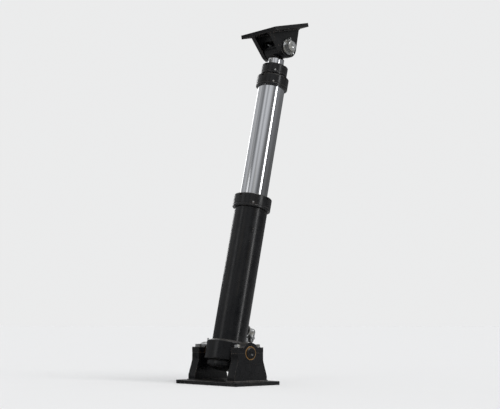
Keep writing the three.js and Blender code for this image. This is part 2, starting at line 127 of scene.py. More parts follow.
LEDGE = 8 * MM  # height of the ledge in a sleeve's foot, which carries the next stage
SEAT_CORNER = 0.3 * MM
GROOVE_CORNER = 0.2 * MM
TUBE_CORNER = 1.0 * MM
NUT = sizes(rod_clearance=1.2, corner=0.5, edge=0.7)
NUT_SIDE = ((-2, 0), (0, 2), (0, 9), (-0.9, 10.2), (-0.9, 12.2), (0, 13.4))  # from its foot: chamfer, groove
NUT_TOP = ((0, -4), (-4, 0, 0.6))  # from its top: chamfer
NOTCH = sizes(depth=7, half_width=7, over=2)
NOTCH_TURN = math.pi / 24  # half a facet of the CAD's nut
GRUB = sizes(radius=4, hole=4.4, foot=1, below_nut=0.2, socket=4, socket_depth=3, hole_depth=8, corner=0.5)
WIPER = sizes(recess=0.6, shoulder=3.4, lip=1.4, corner=0.5)

BASE_CAP = sizes(corner=1.5, weld=3.2, weld_height=2.2)
CAP_EDGE = ((-14, 0, 3), (0, 14, 3))  # a chamfer
COLLAR = sizes(radius=98, weld=4.2)
COLLAR_EDGE = ((0, -5, 2), (-5, 0, 2))  # a chamfer
PORT = sizes(boss=27, boss_foot=60, chamfer=2, mouth=3, stem=12.7, oilway=9, oil_from=60, oil_to=85, weld=3.6)
PORT_NUT = sizes(flats=41, edge=0.3)
ELBOW = sizes(centre_from_back=17, arm=15.2, leg=15.6, leg_from=-4, leg_to=24, flats=30, knuckle=2, voxel=0.9)
ELBOW_HEX = sizes(flats=34, low=21, high=32)
THREAD = sizes(radius=15, depth=1.2, pitch=1.9, start=32.5, neck=13, flare=13.2, nose=5, lip=1.2)
BLEEDER = sizes(flats=13, head=5.4, nipple=3, shank=4, hole=4.4, hole_from=20, hole_to=50)
EYE = sizes(hub=48, neck=27, chamfer=1.5, spigot=22, collar=4, collar_corner=1.5, cone_top=14, cone_corner=6,
            weld=3.8)

TOP_PLATE = sizes(thick=18, corner=9, edge=1.3, hole=9, hole_x=88, hole_y=103)
EAR = sizes(inner=51, outer=73, radius=50, top_half=92, weld=4.4, weld_corner=4)
TOP_PIN = sizes(radius=25, cross_hole=5.2, edge=0.4)
SPLIT_WIRE = 2 * MM  # radius of a split pin's wire

WELD_STEP = 0.8 * MM  # between the rings of points along a bead
WELD_PITCH = 3.2 * MM  # from one ripple to the next
WELD_LIFT = 0.5 * MM  # how far a bead's middle stands off the plate or tube that it is on
WELD_OUT = 1.0 * MM  # how far a bead runs outside the piece that it joins on

# ---- places

JOINTS = {joint["name"]: joint for joint in frame["joints"]}
MOUNTS = {mount["name"]: mount for mount in frame["record"]["mounts"]}
SLOTS = {part["node"]: part["material_slot"] for part in frame["record"]["subparts"]}


def place_at(origin, direction):
    """A place at origin whose z points along direction."""
    turn = Vector(direction).to_track_quat("Z", "Y").to_matrix().to_4x4()
    return Matrix.Translation(origin) @ turn


def leaning(origin, direction):
    """A place at origin that is only leant forward or back, until its z points along direction."""
    lean = math.atan2(direction[0], direction[2])
    return Matrix.Translation(origin) @ Matrix.Rotation(lean, 4, "Y")


def shifted(place, x=0.0, y=0.0, z=0.0):
    return place @ Matrix.Translation((x, y, z))


def facing(place, direction, origin=(0, 0, 0)):
    """A place inside another, with its own origin and its z along direction, both given in the other."""
    return place @ place_at(origin, direction)


ORIGIN = Matrix.Identity(4)
CYLINDER = leaning(JOINTS["trunnion_pivot"]["pos_m"], JOINTS["stage_1_slide"]["axis"])
BRACKET = leaning(JOINTS["top_pin_pivot"]["pos_m"], MOUNTS["bracket_face"]["axis"])
Y_FROM_Z = Matrix.Rotation(math.pi / 2, 4, "X")  # turns what runs along z to run along y


def measure(node, place=CYLINDER):
    """A CAD node in a place: its low and high corners, middle, and least and greatest radius about z."""
    to_place = place.inverted()
    points = [to_place @ vertex.co for vertex in frame["nodes"][node].data.vertices]
    low = Vector([min(point[i] for point in points) for i in range(3)])
    high = Vector([max(point[i] for point in points) for i in range(3)])
    radii = [math.hypot(point.x, point.y) for point in points]
    return SimpleNamespace(low=low, high=high, middle=(low + high) / 2, inner=min(radii), outer=max(radii))


# ---- solids

LONGEST_EASE = 0.45  # of the shorter side beside a corner
SHORTEST_EASE = 0.01 * MM
NEARLY_STRAIGHT = math.radians(160)


def mesh_of(bm):
    bmesh.ops.recalc_face_normals(bm, faces=bm.faces)
    mesh = bpy.data.meshes.new("solid")
    bm.to_mesh(mesh)
    bm.free()
    return mesh


def skin(rings, closed=False):
    """A surface through rings of points. A ring of one point is a pole, and closed joins last to first."""
    bm = bmesh.new()
    made = [[bm.verts.new(point) for point in ring] for ring in rings]
    follow = made[1:] + ([made[0]] if closed else [])
    for lower, upper in zip(made, follow):
        count = max(len(lower), len(upper))
        for i in range(count):
            j = (i + 1) % count
            below = [lower[i % len(lower)], lower[j % len(lower)]]
            above = [upper[j % len(upper)], upper[i % len(upper)]]
            bm.faces.new(list(dict.fromkeys(below + above)))
    return mesh_of(bm)


def eased(points, radius, closed=True, steps=3):
    """An outline with its corners rounded. A point may carry its own radius as a third number."""
    outline = []
    for i, point in enumerate(points):
        here = Vector(point[:2])
        loose = not closed and i in (0, len(points) - 1)
        before = Vector(points[i - 1][:2]) - here
        after = Vector(points[(i + 1) % len(points)][:2]) - here
        wanted = point[2] if len(point) > 2 else radius
        reach = min(wanted, before.length * LONGEST_EASE, after.length * LONGEST_EASE)
        if loose or reach < SHORTEST_EASE or before.angle(after) > NEARLY_STRAIGHT:
            outline.append(here)
            continue
        start = here + before.normalized() * reach
        end = here + after.normalized() * reach
        for k in range(steps + 1):
            t = k / steps
            outline.append(start * (1 - t) ** 2 + here * 2 * t * (1 - t) + end * t ** 2)
    return outline


def in_mm(points, height=0.0, radius=0.0):
    """Part of a profile in metres, from one in millimetres from there. Corner radii may be given too."""
    return [(radius + r * MM, height + z * MM, *(c * MM for c in corner)) for r, z, *corner in points]


def angles(count):
    return [math.tau * i / count for i in range(count)]


def circle(radius, z=0.0, count=160):
    return [(radius * math.cos(a), radius * math.sin(a), z) for a in angles(count)]


def turned(points, radius=CORNER, facets=ROUND):
    """A solid of revolution about z from (radius, height) points, with its corners rounded."""
    on_axis = points[0][0] == 0
    rings = []
    for r, z in eased(points, radius, closed=not on_axis):
        rings.append(circle(r, z, facets) if r > 1e-6 else [(0, 0, z)])
    return skin(rings, closed=not on_axis)


def balanced(points):
    """A profile from its upper half: the same points with z negated, and then the given ones."""
    return [(radius, -z, *corner) for radius, z, *corner in reversed(points)] + points


def tube(inner, outer, low, high, radius=CORNER, facets=ROUND):
    return turned([(inner, low), (outer, low), (outer, high), (inner, high)], radius, facets)


def rod(outer, low, high, radius=CORNER, facets=SMALL_ROUND):
    return turned([(0, low), (outer, low), (outer, high), (0, high)], radius, facets)


def drill(radius, low, high, facets=SMALL_ROUND):
    """A plain round tool to cut a hole along z."""
    return rod(radius, low, high, 0, facets)


def four_drills(plate, low, high):
    """Tools for the four bolt holes of a plate that lies between low and high."""
    corners = [(i * plate.hole_x, j * plate.hole_y, 0) for i in (-1, 1) for j in (-1, 1)]
    return [moved(drill(plate.hole, low - OVER, high + OVER), Matrix.Translation(at)) for at in corners]


def prism(outline, low, high):
    """An outline in x and y with straight sides from low to high."""
    bm = bmesh.new()
    face = bm.faces.new([bm.verts.new((x, y, low)) for x, y in outline])
    grown = bmesh.ops.extrude_face_region(bm, geom=[face])["geom"]
    corners = [v for v in grown if isinstance(v, bmesh.types.BMVert)]
    bmesh.ops.translate(bm, vec=(0, 0, high - low), verts=corners)
    return mesh_of(bm)


def standing(outline, low, high):
    """A prism whose outline is in x and z and whose sides run along y."""
    return moved(prism(outline, -high, -low), Y_FROM_Z)


def arc(centre, radius, start, end, steps):
    """Points along a circle, from one angle in degrees to another."""
    points = []
    for i in range(steps + 1):
        a = math.radians(start + (end - start) * i / steps)
        points.append((centre[0] + radius * math.cos(a), centre[1] + radius * math.sin(a)))
    return points


def mirrored(points):
    """The other half of an outline whose right half is given, on from where that ends."""
    return [(-x, z) for x, z in reversed(points)]


def rectangle(x, y, corner=0.0):
    """A rectangle about the origin, from its half sizes."""
    corners = [(-x, -y), (x, -y), (x, y), (-x, y)]
    return eased(corners, corner, steps=6) if corner else corners


def moved(mesh, place):
    mesh.transform(place)
    return mesh


def merged(*meshes):
    bm = bmesh.new()
    for mesh in meshes:
        bm.from_mesh(mesh)
    whole = bpy.data.meshes.new("solid")
    bm.to_mesh(whole)
    bm.free()
    return whole


def as_object(name, mesh):
    made = bpy.data.objects.new(name, mesh)
    bpy.context.scene.collection.objects.link(made)
    return made


def apply_modifiers(made):
    evaluated = made.evaluated_get(bpy.context.evaluated_depsgraph_get())
    made.data = bpy.data.meshes.new_from_object(evaluated)
    made.modifiers.clear()


def boolean(operation, mesh, tool):
    base = as_object("base", mesh)
    other = as_object("other", tool)
    step = base.modifiers.new("boolean", "BOOLEAN")
    step.operation = operation
    step.object = other
    step.solver = "EXACT"
    apply_modifiers(base)
    result = base.data
    bpy.data.objects.remove(base)
    bpy.data.objects.remove(other)
    return result


def cut(mesh, *tools):
    return boolean("DIFFERENCE", mesh, merged(*tools))


def join(mesh, *others):
    for other in others:
        mesh = boolean("UNION", mesh, other)
    return mesh


def remeshed(mesh, voxel, rounds):
    """A forging: overlapping solids melted into one skin and smoothed."""
    made = as_object("forging", mesh)
    step = made.modifiers.new("remesh", "REMESH")
    step.mode = "VOXEL"
    step.voxel_size = voxel
    ease = made.modifiers.new("smooth", "SMOOTH")
    ease.factor = 0.6
    ease.iterations = rounds
    apply_modifiers(made)
    result = made.data
    bpy.data.objects.remove(made)
    return result


def hexagon(flats, low, high, chamfer_low=True):
    """A hexagonal prism with the turned chamfers of a nut or a bolt head."""
    corner = flats / math.sqrt(3)
    face = flats / 2 * 0.96  # radius of the round face that the chamfer leaves
    drop = (corner - face) * math.tan(math.radians(30))
    wide = corner * 1.02
    profile = [(0, low)]
    profile += [(face, low), (wide, low + drop)] if chamfer_low else [(wide, low)]
    profile += [(wide, high - drop), (face, high), (0, high)]
    outline = [(x, y) for x, y, _ in circle(corner, count=6)]
    return boolean("INTERSECT", prism(outline, low, high), turned(profile, 0, SMALL_ROUND))


def threaded(inner, thread, low, high, facets=SMALL_ROUND):
    """A hollow screw thread about z, fading out at both ends."""
    rows_per_turn = 8
    rows = round((high - low) / thread.pitch * rows_per_turn)
    rings = [circle(inner, low, facets)]
    for row in range(rows + 1):
        z = low + (high - low) * row / rows
        fade = min(1, row / rows_per_turn, (rows - row) / rows_per_turn)
        ring = []
        for i, a in enumerate(angles(facets)):
            phase = (z / thread.pitch - i / facets) % 1
            flank = min(1, max(0, 2.4 * abs(phase - 0.5) - 0.1))  # 0 on the crest and 1 in the root
            r = thread.radius - thread.depth * (1 - (1 - flank) * fade)
            ring.append((r * math.cos(a), r * math.sin(a), z))
        rings.append(ring)
    rings.append(circle(inner, high, facets))
    return skin(rings, closed=True)


def swept(path, radius_at, sides=12, closed=False):
    """A round wire along a path of points. radius_at gives its radius at each point's number."""
    path = [Vector(point) for point in path]
    count = len(path)
    rings = []
    side = None
    for i, point in enumerate(path):
        behind = path[i - 1] if closed or i else point
        ahead = path[(i + 1) % count] if closed or i < count - 1 else point
        along = (ahead - behind).normalized()
        side = along.orthogonal() if side is None else side - along * side.dot(along)
        side.normalize()
        across = along.cross(side)
        r = radius_at(i)
        rings.append([point + (side * math.cos(a) + across * math.sin(a)) * r for a in angles(sides)])
    if not closed:
        rings = [[path[0]]] + rings + [[path[-1]]]
    return skin(rings, closed)


def resampled(path, step):
    """Points at equal steps around a closed path of straight runs."""
    corners = [Vector(point) for point in (*path, path[0])]
    reached = [0.0]
    for a, b in zip(corners, corners[1:]):
        reached.append(reached[-1] + (b - a).length)
    count = round(reached[-1] / step)
    points = []
    for i in range(count):
        distance = reached[-1] * i / count
        run = bisect(reached, distance) - 1
        share = (distance - reached[run]) / (reached[run + 1] - reached[run])
        points.append(corners[run].lerp(corners[run + 1], share))
    return points


def weld(path, size):
    """A weld bead along a closed path, with the ripples of its pool and a little unevenness."""
    points = resampled(path, WELD_STEP)

    def radius_at(i):
        ripple = abs(math.sin(math.pi * i * WELD_STEP / WELD_PITCH))
        uneven = noise.noise(points[i] * 90)
        return size * (0.9 + 0.13 * ripple + 0.09 * uneven)

    return swept(points, radius_at, closed=True)


def smooth_path(points, steps):
    """Points on a Catmull-Rom curve through the given ones."""
    points = [Vector(point) for point in points]
    last = len(points) - 1
    curve = []
    for i in range(last):
        before, a, b, after = (points[max(0, min(last, i + k))] for k in (-1, 0, 1, 2))
        bend = 2 * before - 5 * a + 4 * b - after
        twist = 3 * a - before - 3 * b + after
        for k in range(steps):
            t = k / steps
            curve.append(0.5 * (2 * a + (b - before) * t + bend * t ** 2 + twist * t ** 3))
    curve.append(points[-1])
    return curve


# ---- materials

class Nodes:
    """A node tree, with a short way to add to it."""

    def __init__(self, tree):
        self.tree = tree

    def add(self, kind, inputs, output=0, **settings):
        """A new node. An input is another node's socket or a constant. Returns one of its outputs."""
        node = self.tree.nodes.new("ShaderNode" + kind)
        for key, value in settings.items():
            setattr(node, key, value)
        for key, value in inputs.items():
            if isinstance(value, bpy.types.NodeSocket):
                self.tree.links.new(value, node.inputs[key])
            else:
                node.inputs[key].default_value = value
        return node.outputs[output]

    def noise_at(self, vector, scale, detail, roughness):
        inputs = {"Vector": vector, "Scale": scale, "Detail": detail, "Roughness": roughness}
        return self.add("TexNoise", inputs)

    def step(self, value, low, high, to_low=0.0, to_high=1.0):
        """A soft step: to_low where the value is under low, and to_high where it is over high."""
        inputs = {"Value": value, "From Min": low, "From Max": high, "To Min": to_low, "To Max": to_high}
        return self.add("MapRange", inputs, interpolation_type="SMOOTHSTEP")


class Recipe(Nodes):
    """A material on a Principled shader. Its patterns lie in the piece's own place, kept as an attribute."""

    def __init__(self, name, **constants):
        self.material = bpy.data.materials.new(name)
        self.material.use_nodes = True
        super().__init__(self.material.node_tree)
        self.shader = self.tree.nodes["Principled BSDF"]
        for key, value in constants.items():
            self.shader.inputs[key.replace("_", " ").title().replace("Ior", "IOR")].default_value = value
        self.place = self.add("Attribute", {}, "Vector", attribute_name="local")

    def noise(self, scale, detail=4.0, roughness=0.55):
        return self.noise_at(self.place, scale, detail, roughness)

    def math(self, operation, a, b, clamp=False):
        return self.add("Math", {0: a, 1: b}, operation=operation, use_clamp=clamp)

    def times(self, a, b):
        return self.math("MULTIPLY", a, b)

    def plus(self, a, b, clamp=False):
        return self.math("ADD", a, b, clamp)

    def mix(self, factor, a, b):
        """Colour a, with colour b over it where factor is 1."""
        colours = [c if isinstance(c, bpy.types.NodeSocket) else (*c, 1) for c in (a, b)]
        return self.add("Mix", {0: factor, 6: colours[0], 7: colours[1]}, 2, data_type="RGBA")

    def patches(self, scale, low, high, detail=4.0, roughness=0.55, to_low=0.0, to_high=1.0):
        """Soft-edged patches of noise, from to_low to to_high. The scale is in patches to a metre."""
        return self.step(self.noise(scale, detail, roughness), low, high, to_low, to_high)

    def streaks(self, across, along, low, high, detail, roughness, to_high=1.0):
        """Patches drawn out along z: so many to a metre across it, and so many along it."""
        stretched = self.add("VectorMath", {0: self.place, 1: (across, across, along)}, operation="MULTIPLY")
        return self.step(self.noise_at(stretched, 1, detail, roughness), low, high, 0, to_high)

    def rings(self, scale):
        """Lathe marks: noise that changes only along the axis and with the radius."""
        split = self.add("SeparateXYZ", {0: self.place}).node
        flat = self.add("CombineXYZ", {0: split.outputs[0], 1: split.outputs[1]})
        radius = self.add("VectorMath", {0: flat}, "Value", operation="LENGTH")
        vector = self.add("CombineXYZ", {0: radius, 2: split.outputs[2]})
        return self.noise_at(vector, scale, 3.0, 0.6)

    def edges(self, radius):
        """1 on the edges of a shape and 0 on its flats."""
        soft = self.add("Bevel", {"Radius": radius}, samples=6)
        real = self.add("NewGeometry", {}, "Normal")
        along = self.add("VectorMath", {0: soft, 1: real}, "Value", operation="DOT_PRODUCT")
        return self.step(along, 0.995, 0.93)

    def facing_up(self):
        normal = self.add("NewGeometry", {}, "Normal")
        height = self.add("SeparateXYZ", {0: normal}, "Z")
        return self.step(height, 0.35, 0.98)

    def bump(self, height, distance, strength=1.0, normal=None):
        inputs = {"Height": height, "Distance": distance, "Strength": strength}
        if normal:
            inputs["Normal"] = normal
        return self.add("Bump", inputs)

    def finished(self, colour, roughness=None, normal=None):
        for key, socket in (("Base Color", colour), ("Roughness", roughness), ("Normal", normal)):
            if socket:
                self.tree.links.new(socket, self.shader.inputs[key])
        return self.material


PAINT = (0.0034, 0.0037, 0.0047)
FADED_PAINT = (0.0070, 0.0072, 0.0080)
OLD_OIL = (0.019, 0.015, 0.010)
DUST = (0.115, 0.106, 0.092)
# grey that lightens every edge of the paint: paint rubbed thin, and in part a painted edge highlight
RUBBED_EDGE_AND_HIGHLIGHT = (0.045, 0.043, 0.041)
BARE_EDGE = (0.17, 0.155, 0.14)
RUST = (0.085, 0.038, 0.018)

CHROME = (0.56, 0.57, 0.59)
OILY_CHROME = (0.49, 0.485, 0.47)
SMEAR = (0.34, 0.33, 0.31)

BRONZE_TONES = ((0.50, 0.30, 0.13), (0.22, 0.12, 0.05))  # clean, and tarnished
STEEL_TONES = ((0.34, 0.345, 0.35), (0.15, 0.14, 0.13))

ZINC_GRAINS = ((0.40, 0.41, 0.42), (0.47, 0.48, 0.48))
ZINC_TINT = (0.42, 0.385, 0.29)
ZINC_DIRT = (0.10, 0.088, 0.072)
ZINC_RUST = (0.17, 0.08, 0.038)

RUBBER = (0.010, 0.010, 0.011)
RUBBER_BLOOM = (0.075, 0.068, 0.058)
FABRIC_THREADS = ((0.040, 0.030, 0.019), (0.135, 0.102, 0.062))  # between the threads, and on them
FABRIC_OIL = (0.022, 0.016, 0.010)


def black_paint():
    """Black enamel: faded in patches, run with oil, dusty on top, lighter along every edge where the paint is
    rubbed thin and as a painted edge highlight, and rubbed through in places on its edges.
    """
    m = Recipe("black_paint", coat_weight=0.12, coat_roughness=0.12, specular_ior_level=0.27)
    colour = m.mix(m.patches(7, 0.42, 0.68, 5), PAINT, FADED_PAINT)
    runs = m.streaks(70, 3, 0.52, 0.66, 6, 0.6, to_high=0.3)
    colour = m.mix(runs, colour, OLD_OIL)

    clumps = m.times(m.patches(24, 0.34, 0.70, 8, 0.7), m.patches(260, 0.2, 0.7, 5, 0.7, 0.4, 1))
    settled = m.times(m.facing_up(), m.times(clumps, 0.62))
    film = m.patches(16, 0.45, 0.75, 8, 0.65, 0, 0.02)
    dust = m.plus(settled, film, clamp=True)
    colour = m.mix(dust, colour, DUST)

    edges = m.edges(2.4 * MM)
    # every edge is lightened a little: partly paint rubbed thin, partly a painted highlight along the edges
    colour = m.mix(m.times(edges, 0.3), colour, RUBBED_EDGE_AND_HIGHLIGHT)
    worn = m.times(edges, m.patches(75, 0.50, 0.57, 8, 0.72))
    specks = m.patches(150, 0.735, 0.76, 3, 0.5)
    chips = m.math("MAXIMUM", worn, specks)
    bare = m.mix(m.patches(310, 0.42, 0.58, 5), RUST, BARE_EDGE)
    colour = m.mix(chips, colour, bare)

    gloss = m.patches(26, 0.3, 0.75, 6, 0.6, 0.22, 0.38)
    roughness = m.math("MAXIMUM", m.plus(gloss, m.times(dust, 0.55)), m.times(chips, 0.55))
    peel = m.bump(m.noise(420, 2, 0.4), 0.06 * MM, 0.5)
    normal = m.bump(m.times(chips, -1.0), 0.12 * MM, 0.8, peel)
    return m.finished(colour, roughness, normal)


def hard_chrome():
    """Ground and chromed rod: fine turning lines, long sliding scratches, and a film of oil."""
    m = Recipe("hard_chrome", metallic=1.0, coat_weight=0.35, coat_roughness=0.06)
    oil = m.streaks(46, 2.2, 0.46, 0.68, 5, 0.6)
    colour = m.mix(oil, CHROME, OILY_CHROME)
    colour = m.mix(m.streaks(24, 5, 0.5, 0.74, 6, 0.65, to_high=0.10), colour, SMEAR)
    lathe = m.rings(2400)
    scratches = m.streaks(900, 5, 0.66, 0.72, 3, 0.7)
    roughness = m.plus(m.step(lathe, 0.3, 0.7, 0.07, 0.13), m.times(oil, 0.05))
    roughness = m.plus(roughness, m.times(scratches, 0.12))
    normal = m.bump(scratches, 0.01 * MM, 0.5, m.bump(lathe, 0.004 * MM, 0.5))
    return m.finished(colour, roughness, normal)


def turned_metal(name, tones, roughness):
    """Machined metal with lathe marks, darker where it has tarnished or holds grease."""
    m = Recipe(name, metallic=1.0)
    bright, dull = tones
    tarnish = m.patches(55, 0.4, 0.68, 6, 0.65)
    lathe = m.rings(1500)
    colour = m.mix(tarnish, bright, dull)
    colour = m.mix(m.step(lathe, 0.55, 0.75, 0, 0.3), colour, dull)
    shine = m.plus(m.times(tarnish, 0.18), m.step(lathe, 0.3, 0.7, roughness, roughness + 0.1))
    return m.finished(colour, shine, m.bump(lathe, 0.02 * MM, 0.6))


def zinc_plate():
    """Dull zinc plating: a mottled grey with a yellow tint, dirt in it and rust at the edges."""
    m = Recipe("zinc_plate", metallic=1.0)
    cells = m.add("TexVoronoi", {"Vector": m.place, "Scale": 300.0}, "Color")
    grain = m.add("SeparateColor", {0: cells})
    colour = m.mix(m.step(grain, 0, 1), *ZINC_GRAINS)
    colour = m.mix(m.patches(45, 0.45, 0.65, to_high=0.45), colour, ZINC_TINT)
    dirt = m.patches(60, 0.50, 0.72, 7, 0.68, 0, 0.7)
    colour = m.mix(dirt, colour, ZINC_DIRT)
    rust = m.times(m.edges(0.9 * MM), m.patches(200, 0.54, 0.62, 6, 0.7))
    colour = m.mix(rust, colour, ZINC_RUST)
    roughness = m.plus(m.step(grain, 0, 1, 0.33, 0.40), m.times(dirt, 0.32))
    return m.finished(colour, roughness, m.bump(m.noise(380, 3), 0.02 * MM, 0.35))


def seal_rubber():
    """Black wiper rubber with a bloom of dust."""
    m = Recipe("seal_rubber")
    colour = m.mix(m.patches(160, 0.45, 0.72, 7, 0.65, 0, 0.5), RUBBER, RUBBER_BLOOM)
    roughness = m.patches(80, 0.35, 0.65, 5, to_low=0.38, to_high=0.72)
    return m.finished(colour, roughness, m.bump(m.noise(700, 3), 0.05 * MM, 0.5))


def packing_fabric():
    """Rubberised duck: a fine crossed weave, dark with oil."""
    m = Recipe("packing_fabric", sheen_weight=0.15)
    threads = [
        m.add("TexWave", {"Vector": m.place, "Scale": 260.0, "Distortion": 0.6}, bands_direction=way)
        for way in ("DIAGONAL", "Z")
    ]
    weave = m.times(*threads)
    colour = m.mix(weave, *FABRIC_THREADS)
    colour = m.mix(m.patches(40, 0.4, 0.7, 5, to_high=0.7), colour, FABRIC_OIL)
    roughness = m.patches(60, 0.35, 0.65, to_low=0.5, to_high=0.85)
    return m.finished(colour, roughness, m.bump(weave, 0.15 * MM, 0.8))


# A material for each of the record's slots.
FINISHES = {
    "black_paint": black_paint(),
    "hard_chrome": hard_chrome(),
    "bronze": turned_metal("bronze", BRONZE_TONES, 0.24),
    "bare_steel": turned_metal("bare_steel", STEEL_TONES, 0.26),
    "zinc_plate": zinc_plate(),
    "seal_rubber": seal_rubber(),
    "packing_fabric": packing_fabric(),
}


# ---- pieces

def piece(name, mesh, place, body, slot, replaces=(), bevel=0.0):
    """Puts a mesh in its place, bevels and shades it, and makes it ride on its body."""
    made = as_object(name, moved(mesh, place))
    if bevel:
        step = made.modifiers.new("bevel", "BEVEL")
        step.width = bevel
        step.segments = 3
        step.limit_method = "ANGLE"
        step.angle_limit = SHARP
        apply_modifiers(made)
    made.data.shade_smooth()
    made.data.set_sharp_from_angle(angle=SHARP)
    made.modifiers.new("normals", "WEIGHTED_NORMAL").keep_sharp = True
    apply_modifiers(made)
    made.data.name = name
    to_place = place.inverted()
    local = made.data.attributes.new("local", "FLOAT_VECTOR", "POINT")
    for vertex in made.data.vertices:
        local.data[vertex.index].vector = to_place @ vertex.co
    made.data.materials.clear()
    made.data.materials.append(FINISHES[slot])
    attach(made, body)
    if replaces:
        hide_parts(*replaces)


def swap(node, mesh, place=CYLINDER, bevel=0.0):
    """A piece that stands for the CAD node of the same name, and rides on the same body."""
    (body,) = body_of(frame["nodes"][node])
    piece(node + "_look", mesh, place, body, SLOTS[node], (node,), bevel)


def bead(name, mesh, body, place=CYLINDER):
    """A painted piece of weld, which stands for no CAD node."""
    piece(name, mesh, place, body, "black_paint")


def ring_like(node, place=CYLINDER, corner=CORNER, facets=ROUND):
    """A plain ring of the same size as a CAD node."""
    ring = measure(node, place)
    return tube(ring.inner, ring.outer, ring.low.z, ring.high.z, corner, facets)


def plate_weld(x, y, height, middle, block):
    """A bead around the foot of a block of half sizes x and y, whose middle is at that y."""
    run = rectangle(x + WELD_OUT, y + WELD_OUT, block.weld_corner)
    return weld([(at_x, at_y + middle, height) for at_x, at_y in run], block.weld)


# ---- cradle

def hex_bolt(bolt):
    """A bolt with its head on z = 0, dished on top and with a washer face turned under it."""
    rim, dish = bolt.flats * 0.34, bolt.flats * 0.3
    floor = bolt.head - 0.5 * MM
    dishing = [(0, floor), (dish, floor), (rim, bolt.head + MM), (0, bolt.head + MM)]
    head = cut(hexagon(bolt.flats, 0.8 * MM, bolt.head, chamfer_low=False), turned(dishing, 0, SMALL_ROUND))
    washer_face = rod(bolt.flats * 0.475, 0, MM, 0.1 * MM)
    return merged(head, washer_face, rod(bolt.shank, -bolt.length, 0.2 * MM))


def grease_nipple():
    """A nipple with its hexagon on z = 0 and its ball end above."""
    profile = in_mm([
        (0, -5), (3, -5), (3, 5), (3.5, 7.2), (2.9, 10.5), (3.35, 13), (4.1, 14.6), (2.2, 16.9),
        (0.8, 16.9), (0.6, 16.2), (0, 16),
    ])
    stem = turned(profile, 0.3 * MM, TINY_ROUND)
    return merged(hexagon(NIPPLE.flats, 0, NIPPLE.hexagon), stem)


def nipple_hole(place):
    """The tool for a nipple's hole. It runs on into the bore below."""
    return moved(drill(NIPPLE.hole, NIPPLE.hole_low, NIPPLE.hole_high, TINY_ROUND), place)


def build_cradle():
    plate = measure("cradle_plate", ORIGIN)
    slab = prism(rectangle(plate.high.x, plate.high.y, PLATE.corner), 0, plate.high.z)
    holes = four_drills(PLATE, 0, plate.high.z)
    swap("cradle_plate", cut(slab, *holes), ORIGIN, PLATE.edge)
    for side, sign in SIDES:
        build_bearing(side, sign, plate.high.z)


def build_bearing(side, sign, floor):
    """One trunnion bearing: the welded pedestal, its cap, bush, bolts, washers and grease nipple."""
    pedestal = measure(f"pedestal_{side}", ORIGIN)
    cap = measure(f"bearing_cap_{side}", ORIGIN)
    axis = JOINTS["trunnion_pivot"]["pos_m"][2]
    inner, outer = pedestal.low.y, pedestal.high.y
    middle = (inner + outer) / 2
    foot, shoulder, bore = pedestal.high.x, cap.high.x, PEDESTAL.bore

    def bolt_holes(low, high):
        places = [Matrix.Translation((i * CAP_BOLT.x, middle, 0)) for i in (-1, 1)]
        return [moved(drill(CAP_BOLT.hole, low, high, TINY_ROUND), place) for place in places]

    half = [
        (foot, pedestal.low.z), (foot, floor + PEDESTAL.foot_height),
        (shoulder, axis - PEDESTAL.neck_drop), (shoulder, axis), (bore, axis),
    ]
    outline = half + arc((0, axis), bore, 0, -180, 40)[1:-1] + mirrored(half)
    block = cut(standing(outline, inner, outer), *bolt_holes(axis - CAP_BOLT.hole_depth, axis + MM))
    swap(f"pedestal_{side}", block, ORIGIN, PEDESTAL.edge)
    seam = plate_weld(foot, (outer - inner) / 2, floor + WELD_LIFT, middle, PEDESTAL)
    bead(f"pedestal_weld_{side}", seam, "cradle", ORIGIN)

    base = cap.low.z
    ear_top = base + EAR_HEIGHT
    crown = cap.high.z - base
    meets = math.degrees(math.asin(EAR_HEIGHT / crown))
    half = [(bore, base), (shoulder, base), (shoulder, ear_top)]
    outline = half + arc((0, base), crown, meets, 180 - meets, 40) + mirrored(half)
    outline += arc((0, base), bore, 180, 0, 40)[1:-1]
    nipple = f"cap_grease_nipple_{side}"
    top = shifted(ORIGIN, 0, middle, measure(nipple, ORIGIN).low.z + NIPPLE.foot)
    holes = bolt_holes(base - MM, ear_top + MM)
    cover = cut(standing(outline, inner, outer), *holes, nipple_hole(top))
    swap(f"bearing_cap_{side}", cover, ORIGIN, PEDESTAL.edge)

    across = place_at((0, 0, axis), (0, sign, 0))
    bush = f"trunnion_bush_{side}"
    swap(bush, ring_like(bush, across, BUSH_CORNER, SMALL_ROUND), across)
    for end, degrees in BOLT_TURNS.items():
        name = f"cap_washer_{side}_{end}"
        washer = measure(name, ORIGIN)
        seat = shifted(ORIGIN, washer.middle.x, washer.middle.y, washer.low.z)
        ring = tube(CAP_WASHER.hole, CAP_WASHER.radius, 0, CAP_WASHER.thick, CAP_WASHER.corner, SMALL_ROUND)
        swap(name, ring, seat)
        turn = Matrix.Rotation(math.radians(degrees) * sign, 4, "Z")
        seat = shifted(seat, z=CAP_WASHER.thick + GAP) @ turn
        swap(f"cap_bolt_{side}_{end}", hex_bolt(CAP_BOLT), seat, CAP_BOLT.edge)
    swap(nipple, grease_nipple(), top)


# ---- barrel, sleeves and plunger

